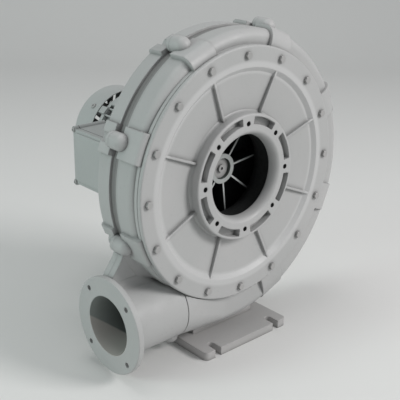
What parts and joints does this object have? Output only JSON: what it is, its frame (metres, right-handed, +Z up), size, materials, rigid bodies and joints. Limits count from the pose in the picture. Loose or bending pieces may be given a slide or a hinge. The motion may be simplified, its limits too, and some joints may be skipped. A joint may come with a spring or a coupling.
{
  "type": "centrifugal fan",
  "caption": "High-pressure centrifugal fan: cast scroll casing with a bolted inlet cover and a flanged outlet pipe, driven directly by a flange motor on one foot.",
  "frame": {"origin": "on the underside of the foot, below the shaft, in the mid-plane of the outlet duct", "axes": "+Z up; the shaft lies along Y and the inlet faces -Y; the outlet leaves towards -X"},
  "size_m": [0.5015, 0.3995, 0.5442],
  "materials": {
    "cast_paint": "semi-matt light grey paint on cast aluminium",
    "motor_paint": "semi-matt light grey paint",
    "foot_paint": "semi-matt light grey paint",
    "zinc_steel": "zinc plated",
    "bare_steel": "ground",
    "cast_aluminium": "cast",
    "wheel_dark": "dark coating",
    "core_steel": "stacked sheet",
    "copper": "enamelled wire",
    "rubber_black": "matt",
    "gasket_grey": "matt",
    "plastic_black": "moulded",
    "bakelite": "moulded",
    "brass_parts": "turned"
  },
  "bodies": {
    "frame": {"volute_casing": "cast_paint", "rear_casing": "cast_paint", "front_cover": "cast_paint", "outlet_pipe": "cast_paint", "cover_gasket": "gasket_grey", "casing_screws": "zinc_steel", "cover_screws": "zinc_steel", "foot": "foot_paint", "foot_screws": "zinc_steel", "motor_flange_screws": "zinc_steel", "shaft_seal": "rubber_black", "motor_frame": "motor_paint", "drive_end_shield": "motor_paint", "rear_end_shield": "motor_paint", "tie_bolts": "zinc_steel", "stator_core": "core_steel", "stator_windings": "copper", "bearing_outer_front": "bare_steel", "bearing_outer_rear": "bare_steel", "wave_spring": "bare_steel", "fan_cowl": "motor_paint", "cowl_screws": "zinc_steel", "terminal_box": "motor_paint", "terminal_gasket": "gasket_grey", "terminal_lid": "motor_paint", "lid_screws": "zinc_steel", "box_screws": "zinc_steel", "terminal_board": "bakelite", "terminal_studs": "brass_parts", "entry_plugs": "plastic_black"},
    "rotor": {"shaft": "bare_steel", "shaft_key": "bare_steel", "rotor_core": "core_steel", "rotor_cage": "cast_aluminium", "bearing_inner_front": "bare_steel", "bearing_inner_rear": "bare_steel", "spacer_sleeve": "bare_steel", "impeller_hub": "cast_aluminium", "impeller_disc": "wheel_dark", "impeller_blades": "cast_aluminium", "impeller_shroud": "wheel_dark", "impeller_washer": "zinc_steel", "impeller_screw": "zinc_steel", "cooling_fan": "plastic_black", "fan_clip": "bare_steel"}
  },
  "joints": [
    {"name": "rotor_spin", "type": "hinge", "parent": "frame", "child": "rotor", "pos_m": [0, 0, 0.302], "axis": [0, 1, 0], "continuous": true}
  ]
}
